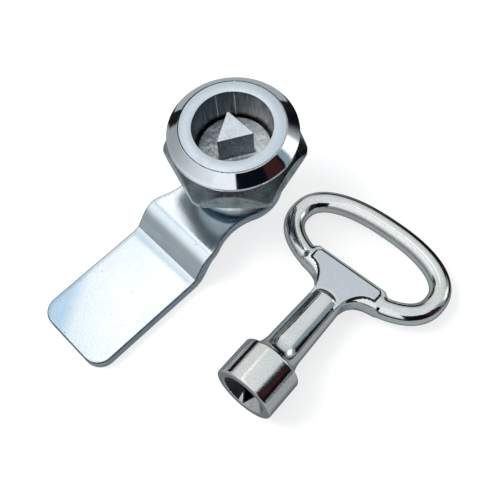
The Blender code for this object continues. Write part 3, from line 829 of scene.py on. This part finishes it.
class KeyShape:
    """Distance from the key's surface: x across the handle, y out of its flat face, z to the handle."""

    socket, socket_end, hole_side, hole_depth, lead_in = 7.1, 9.6, 9.2, 8, 5.2
    shank_start, shank, shank_tip, shank_end, dome = 14, 4.35, 3.95, 27.6, 2.2
    loop_centre, loop_width, loop_height, power, cord = 43.3, 18.6, 9.45, 2.35, 2.45
    web_half, panel_half, panel_width, panel_top, panel_low = 2.2, 2.9, 8.5, 36.9, 34

    def __init__(self):
        turns = turn_steps(720)
        p = 2 / self.power
        loop = np.stack([self.loop_width * np.sign(np.cos(turns)) * np.abs(np.cos(turns)) ** p,
                         self.loop_centre + self.loop_height * np.sign(np.sin(turns))
                         * np.abs(np.sin(turns)) ** p], 1)
        closed = np.vstack([loop, loop[:1]])
        along = np.concatenate([[0], np.cumsum(np.hypot(*np.diff(closed, axis=0).T))])
        places = np.linspace(0, along[-1], 481)[:-1]
        self.loop = np.stack([np.interp(places, along, closed[:, i]) for i in (0, 1)], 1)
        self.panel = self.web_outline(self.panel_width, self.panel_top, self.panel_low)
        self.web = self.web_outline(self.panel_width + 1.3, self.panel_top + 0.9,
                                    self.panel_low - 1)

    def web_outline(self, half, top, low, corner=0.7):
        flare = half - self.shank_tip + 0.6
        fall = low - self.shank_end + 1
        side = [(half - corner, top), (half, top - corner)]
        for turn in np.radians(np.arange(0, 91, 5)):
            side.append((half - flare * sin(turn), low - fall * (1 - cos(turn))))
        return np.array(side + [(-x, z) for x, z in reversed(side)])

    @staticmethod
    def to_line(points, line):
        """Distance from flat points to a closed line of many segments."""
        best = np.full(len(points), 1e9)
        for p, q in zip(line, np.roll(line, -1, 0)):
            d = q - p
            t = np.clip(((points - p) @ d) / max(d @ d, 1e-12), 0, 1)
            away = points - p - t[:, None] * d
            best = np.minimum(best, (away ** 2).sum(1))
        return np.sqrt(best)

    def to_outline(self, points, outline):
        """The same distance, negative inside the outline."""
        x, y = points.T
        odd = np.zeros(len(points), bool)
        for (x1, y1), (x2, y2) in zip(outline, np.roll(outline, -1, 0)):
            if y1 != y2:
                odd ^= ((y1 > y) != (y2 > y)) & (x < (x2 - x1) * (y - y1) / (y2 - y1) + x1)
        away = self.to_line(points, outline)
        return np.where(odd, -away, away)

    def flat_part(self, points):
        """The distances that depend only on x and z: loop line, web outline, panel outline."""
        return (self.to_line(points, self.loop), self.to_outline(points, self.web),
                self.to_outline(points, self.panel))

    @staticmethod
    def rounded(side, deep, edge):
        """A solid from two distances, to its side and to its ends, with the edge between rounded."""
        side, deep = side + edge, deep + edge
        outside = np.hypot(np.maximum(side, 0), np.maximum(deep, 0))
        return outside + np.minimum(np.maximum(side, deep), 0) - edge

    def shank_radius(self, z):
        flare_from = self.socket - 0.6
        t = np.clip((z - self.socket_end) / (self.shank_start - self.socket_end), 0, 1)
        flare = flare_from - (flare_from - self.shank) * np.sqrt(np.maximum(1 - (1 - t) ** 2, 0))
        taper = np.clip((z - self.shank_start) / (self.shank_end - self.shank_start), 0, 1)
        straight = self.shank + (self.shank_tip - self.shank) * taper
        return np.where(z < self.shank_start, flare, straight)

    def distance(self, points, flat=None):
        x, y, z = points.T
        loop, web, panel = self.flat_part(points[:, [0, 2]]) if flat is None else flat
        r = np.hypot(x, y)
        middle = self.socket_end / 2
        socket = self.rounded(r - self.socket, np.abs(z - middle) - middle, 0.45)
        cap = np.maximum(z - self.shank_end, 0) / self.dome * self.shank_tip
        tip = np.hypot(r, cap) - self.shank_tip
        shaft = np.where(z > self.shank_end, tip * 0.6, (r - self.shank_radius(z)) * 0.8)
        shaft = np.maximum(shaft, self.socket_end - 2 - z)
        slab = self.rounded(web, np.abs(y) - self.web_half, 0.6)
        raised = self.rounded(panel, np.abs(y) - self.panel_half, 0.16)
        handle = smooth_min(np.hypot(loop, y) - self.cord, slab, 1)
        handle = smooth_min(smooth_min(handle, shaft, 0.5), raised, 0.12)
        body = np.minimum(smooth_min(socket, shaft, 0.25), handle)
        return smooth_max(body, -self.hole(x, y, z), 0.14)

    def hole(self, x, y, z):
        """The triangular hole: flat side up, a vertex down, in a conical lead-in."""
        across = np.max([x * cos(t) + y * sin(t) for t in np.radians((90, 210, 330))], 0)
        apothem = self.hole_side / (2 * sqrt(3))
        triangle = smooth_max(across - apothem, z - self.hole_depth, 0.3)
        cone = (np.hypot(x, y) + z - self.lead_in) * sqrt(0.5)
        return smooth_min(triangle, cone, 0.12)


def surface_nets(field, low, pitch):
    """The zero surface of a distance field on a grid, as points and four-sided faces."""
    solid = field < 0.0
    size = np.array(field.shape)
    total = np.zeros((*(size - 1), 3), np.float32)
    hits = np.zeros(size - 1, np.int8)

    def shifted(start):
        return field[tuple(slice(s, n - 1 + s) for s, n in zip(start, size))]

    for start in np.ndindex(2, 2, 2):
        for axis in range(3):
            if start[axis]:
                continue
            fa, fb = shifted(start), shifted(np.array(start) + np.eye(3, dtype=int)[axis])
            cross = (fa < 0.0) != (fb < 0.0)
            share = np.where(cross, fa / np.where(cross, fa - fb, 1.0), 0.0)
            for d in range(3):
                total[..., d] += (share if d == axis else float(start[d])) * cross
            hits += cross
    active = hits > 0
    number = np.full(active.shape, -1, np.int64)
    number[active] = np.arange(active.sum())
    verts = (np.argwhere(active) + total[active] / hits[active][:, None]) * pitch + low
    faces = []
    for axis, (u, v) in enumerate(((1, 2), (2, 0), (0, 1))):
        edges = np.argwhere(np.diff(solid, axis=axis))
        for side in (u, v):
            edges = edges[(edges[:, side] > 0) & (edges[:, side] < size[side] - 1)]
        ring = []
        for du, dv in ((1, 1), (0, 1), (0, 0), (1, 0)):
            cell = edges.copy()
            cell[:, u] -= du
            cell[:, v] -= dv
            ring.append(number[tuple(cell.T)])
        quad = np.stack(ring, 1)
        out = solid[tuple(edges.T)]
        quad[~out] = quad[~out][:, ::-1]
        faces.append(quad)
    return verts, np.concatenate(faces)


def key_place():
    """The matrix from the key's own frame to the table, in millimetres: it lies on socket and loop."""
    k = KeyShape
    heading, mouth_x, mouth_y = 5.8, 37.55, -35.1
    shoulder = k.socket_end - 0.4
    reach = k.loop_centre + k.loop_height - shoulder
    tilt = acos(k.cord / hypot(k.socket, reach)) - atan2(reach, k.socket)
    mouth_z = k.socket * cos(tilt) + shoulder * sin(tilt)
    return (Matrix.Translation((mouth_x, mouth_y, mouth_z))
            @ Matrix.Rotation(radians(heading), 4, "Z")
            @ Matrix.Rotation(-pi / 2 - tilt, 4, "X")
            @ Matrix.Rotation(pi, 4, "Z"))


def key_marks(shape, points):
    """Which finish the key has at each point: 0 plating, 1 the ground panel, 2 painted shade in the hole
    and at the panel's edges.
    """
    x, y, z = points.T
    panel = shape.to_outline(points[:, [0, 2]], shape.panel)
    ground = (np.abs(y) > shape.panel_half - 0.03) & (panel < -0.12) & (z > shape.shank_end - 2)
    ground &= np.hypot(x, (z - shape.shank_end) * 1.4) > 3.1
    r = np.hypot(x, y)
    # The hole's lit lower right face keeps the plating: no painted shade there.
    lit_inner_face = (x < 1.2) & (y < -0.4)
    # Painted shade inside the triangular hole and its lead-in.
    dark = (r < 5.4) & (z < shape.hole_depth + 0.3)
    dark &= (r + z - shape.lead_in > 0.25) | ((z > 0.1) & ~lit_inner_face)
    # Painted shade along the panel's step and along its top edge.
    dark |= ((panel > -0.2) & (panel < 0.34) & (z > shape.panel_low - 4)
             & (np.abs(np.abs(y) - 2.4) < 0.42))
    dark |= (np.abs(panel + 0.2) < 0.16) & (z > shape.panel_top - 0.5)
    return np.where(dark, 2, np.where(ground, 1, 0))


def build_key():
    """The cast key, as one skin over socket, shank, web, raised panels and finger loop."""
    shape = KeyShape()
    pitch = 0.22
    low = np.array([-22, -8.2, -0.8])
    high = np.array([22, 8.2, 56])
    size = np.ceil((high - low) / pitch).astype(int) + 1
    xs, ys, zs = [low[i] + pitch * np.arange(size[i]) for i in range(3)]
    gx, gz = np.meshgrid(xs, zs, indexing="ij")
    flat = shape.flat_part(np.stack([gx.ravel(), gz.ravel()], 1))
    field = np.empty(tuple(size), np.float32)
    for j, y in enumerate(ys):
        points = np.stack([gx.ravel(), np.full(gx.size, y), gz.ravel()], 1)
        field[:, j, :] = shape.distance(points, flat).reshape(gx.shape)
    verts, faces = surface_nets(field, low, pitch)
    step = 0.02
    for _ in range(3):
        here = shape.distance(verts)
        slope = np.stack([(shape.distance(verts + step * axis) - shape.distance(verts - step * axis))
                          / (2 * step) for axis in np.eye(3)], 1)
        length = np.maximum((slope ** 2).sum(1), 0.05)
        move = slope * (here / length)[:, None]
        far = np.maximum(np.sqrt((move ** 2).sum(1)) / (0.5 * pitch), 1)
        verts = verts - move / far[:, None]
    marks = key_marks(shape, verts[faces].mean(1))
    place = np.array(key_place())
    verts = verts @ place[:3, :3].T + place[:3, 3]
    # Near-black cast zinc that paints shade in the hole and along the panel's edges.
    dark = rough_cast("key_hole", (0.02, 0.02, 0.024), (0.07, 0.07, 0.078), 1.4)
    make_piece(("key_body", "triangle_key", "key", "cast_nickel",
                [key_nickel(), key_panel_satin(), dark]), 60, verts, faces.tolist(), marks)


# -------- studio


def build_camera():
    """The view from above and to the front right, in millimetres and degrees."""
    azimuth, elevation, roll = (radians(v) for v in (51.047, 64.297, -6.061))
    away, right_shift, down_shift, sensor, focus = 175.495, 3.232, 21.66, 36, 57.528
    back = Vector((sin(azimuth) * cos(elevation),
                   -cos(azimuth) * cos(elevation), sin(elevation)))
    right = Vector((cos(azimuth), sin(azimuth), 0))
    up = back.cross(right)
    right, up = (right * cos(roll) + up * sin(roll),
                 up * cos(roll) - right * sin(roll))
    place = Vector((0, 0, 20)) + back * away + right * right_shift - up * down_shift
    data = bpy.data.cameras.new("camera")
    data.sensor_width = sensor
    data.lens = focus
    data.clip_start = 0.01
    data.clip_end = 20
    camera = new_object("camera", data)
    turn = Matrix((right, up, back)).transposed()
    camera.matrix_world = Matrix.Translation(place * MM) @ turn.to_4x4()
    bpy.context.scene.camera = camera


def flat_card(name, low, high, height, colour, glow):
    """A level rectangle that belongs to the studio."""
    (x1, y1), (x2, y2) = low, high
    rim = [(x1, y1, height), (x2, y1, height), (x2, y2, height), (x1, y2, height)]
    card = new_object(name, new_mesh(name, rim, [(0, 1, 2, 3)]))
    material = bpy.data.materials.new(name)
    nodes = Nodes(material)
    nodes.feed(nodes.tree.nodes["Principled BSDF"],
               {"Base Color": (*colour, 1), "Roughness": 0.9, "Specular IOR Level": 0.1,
                "Emission Color": (*glow, 1), "Emission Strength": 1})
    card.data.materials.append(material)
    card.visible_shadow = False
    return card


def build_floor():
    """A plain pale table, lit from under as well, and the grey cards that polished faces reflect."""
    floor = flat_card("floor", (-2000, -2000), (2000, 2000), 0, (0.3,) * 3, (0.72,) * 3)
    floor.visible_glossy = False
    for name, low, high in (("reflected_card_front", (-150, -450), (350, 22)),
                            ("reflected_card_back", (-150, 22), (12, 165))):
        card = flat_card(name, low, high, -0.1, (0.1, 0.103, 0.106), (0.235, 0.265, 0.29))
        card.visible_camera = False
        card.visible_diffuse = False


# The room's patches, in degrees: (azimuth from +X towards +Y, half width, lowest, highest, softness,
# side softness), colour. A seventh number makes the lower edge rise for each degree of azimuth.
ROOM = [
    ((-100, 62, 34, 84, 40, 40), (1.05, 1.1, 1.14)),
    ((-60, 18, 26, 70, 20, 14), (0.98, 1.02, 1.06)),
    ((160, 27, 20, 57, 12, 10), (0.8, 0.83, 0.84)),
    ((184, 17, 56, 76, 5, 6), (0.78, 0.88, 0.96)),
    ((164, 22, 60.6, 88, 3, 14, 0.4636), (1.4, 1.38, 1.37)),
    ((106, 30, -6, 22, 10, 16), (0.012, 0.013, 0.016)),
    ((40, 9, 4, 44, 6, 6), (0.27, 0.36, 0.41)),
    ((57, 10, 9, 31, 5, 6), (1.3, 1.3, 1.3)),
    ((-19.5, 23.5, 4, 52, 5, 2), (0.003, 0.004, 0.007)),
    ((17.5, 18.5, 2, 48, 4, 3), (0.004, 0.005, 0.008)),
    ((19, 13, 16, 41, 5, 5), (0.042, 0.015, 0.018)),
    ((-55, 22, -4, 14, 6, 8), (0.012, 0.014, 0.02)),
    ((168, 17, -8, 13, 3, 6), (0.008, 0.009, 0.01)),
    ((130, 48, -20, 4, 4, 6), (0.004, 0.005, 0.006)),
    ((0, 190, -100, -2, 3, 3), (0.01, 0.011, 0.012)),
]


def build_room():
    """The soft light all round: a bright ceiling, darker walls and dark things near the horizon."""
    world = bpy.data.worlds.new("studio")
    bpy.context.scene.world = world
    room = Nodes(world)
    place = room.add("TexCoord", {}).outputs["Generated"]
    x, y, z = room.add("SeparateXYZ", {0: place}).outputs
    height = room.times(room.maths("ARCSINE", z), 180 / pi)
    heading = room.times(room.maths("ARCTAN2", y, x), 180 / pi)

    def ramp(value, low, high):
        return room.spread(value, low, high, kind="SMOOTHSTEP")

    def window(azimuth, half_width, low, high, soft, soft_side, tilt=0):
        """1 inside a patch of the room, 0 outside."""
        away = room.maths("WRAP", room.maths("SUBTRACT", heading, azimuth), 180, -180)
        edge = room.maths("SUBTRACT", height, room.times(away, tilt))
        away = room.maths("ABSOLUTE", away)
        side = ramp(away, half_width + soft_side / 2, half_width - soft_side / 2)
        bottom = ramp(edge, low - soft / 2, low + soft / 2)
        top = ramp(height, high + soft / 2, high - soft / 2)
        return room.times(room.times(side, bottom), top)

    sky = room.blend(ramp(height, 0, 62), (0.36, 0.385, 0.4), (0.8, 0.86, 0.9))
    for patch, colour in ROOM:
        sky = room.blend(window(*patch), sky, colour)
    room.feed(room.tree.nodes["Background"], {"Color": sky, "Strength": 1})


def build_light():
    """One large soft light high on the left, so that the pieces throw faint shadows."""
    place = Vector((-0.35, -0.25, 0.55))
    aim = Vector((0, 0, 0.01))
    data = bpy.data.lights.new("soft_key", "AREA")
    data.shape = "DISK"
    data.size = 0.45
    data.energy = 5
    light = new_object("soft_key", data)
    light.location = place
    light.rotation_euler = (aim - place).to_track_quat("-Z", "Y").to_euler()
    light.visible_glossy = False


for build in (build_camera, build_floor, build_room, build_light, build_housing, build_rotor,
              build_nut, build_gasket, build_cam, build_stop_washer, build_spring_washer, build_bolt,
              build_seal, build_key):
    build()

bpy.context.scene.view_settings.view_transform = "Standard"
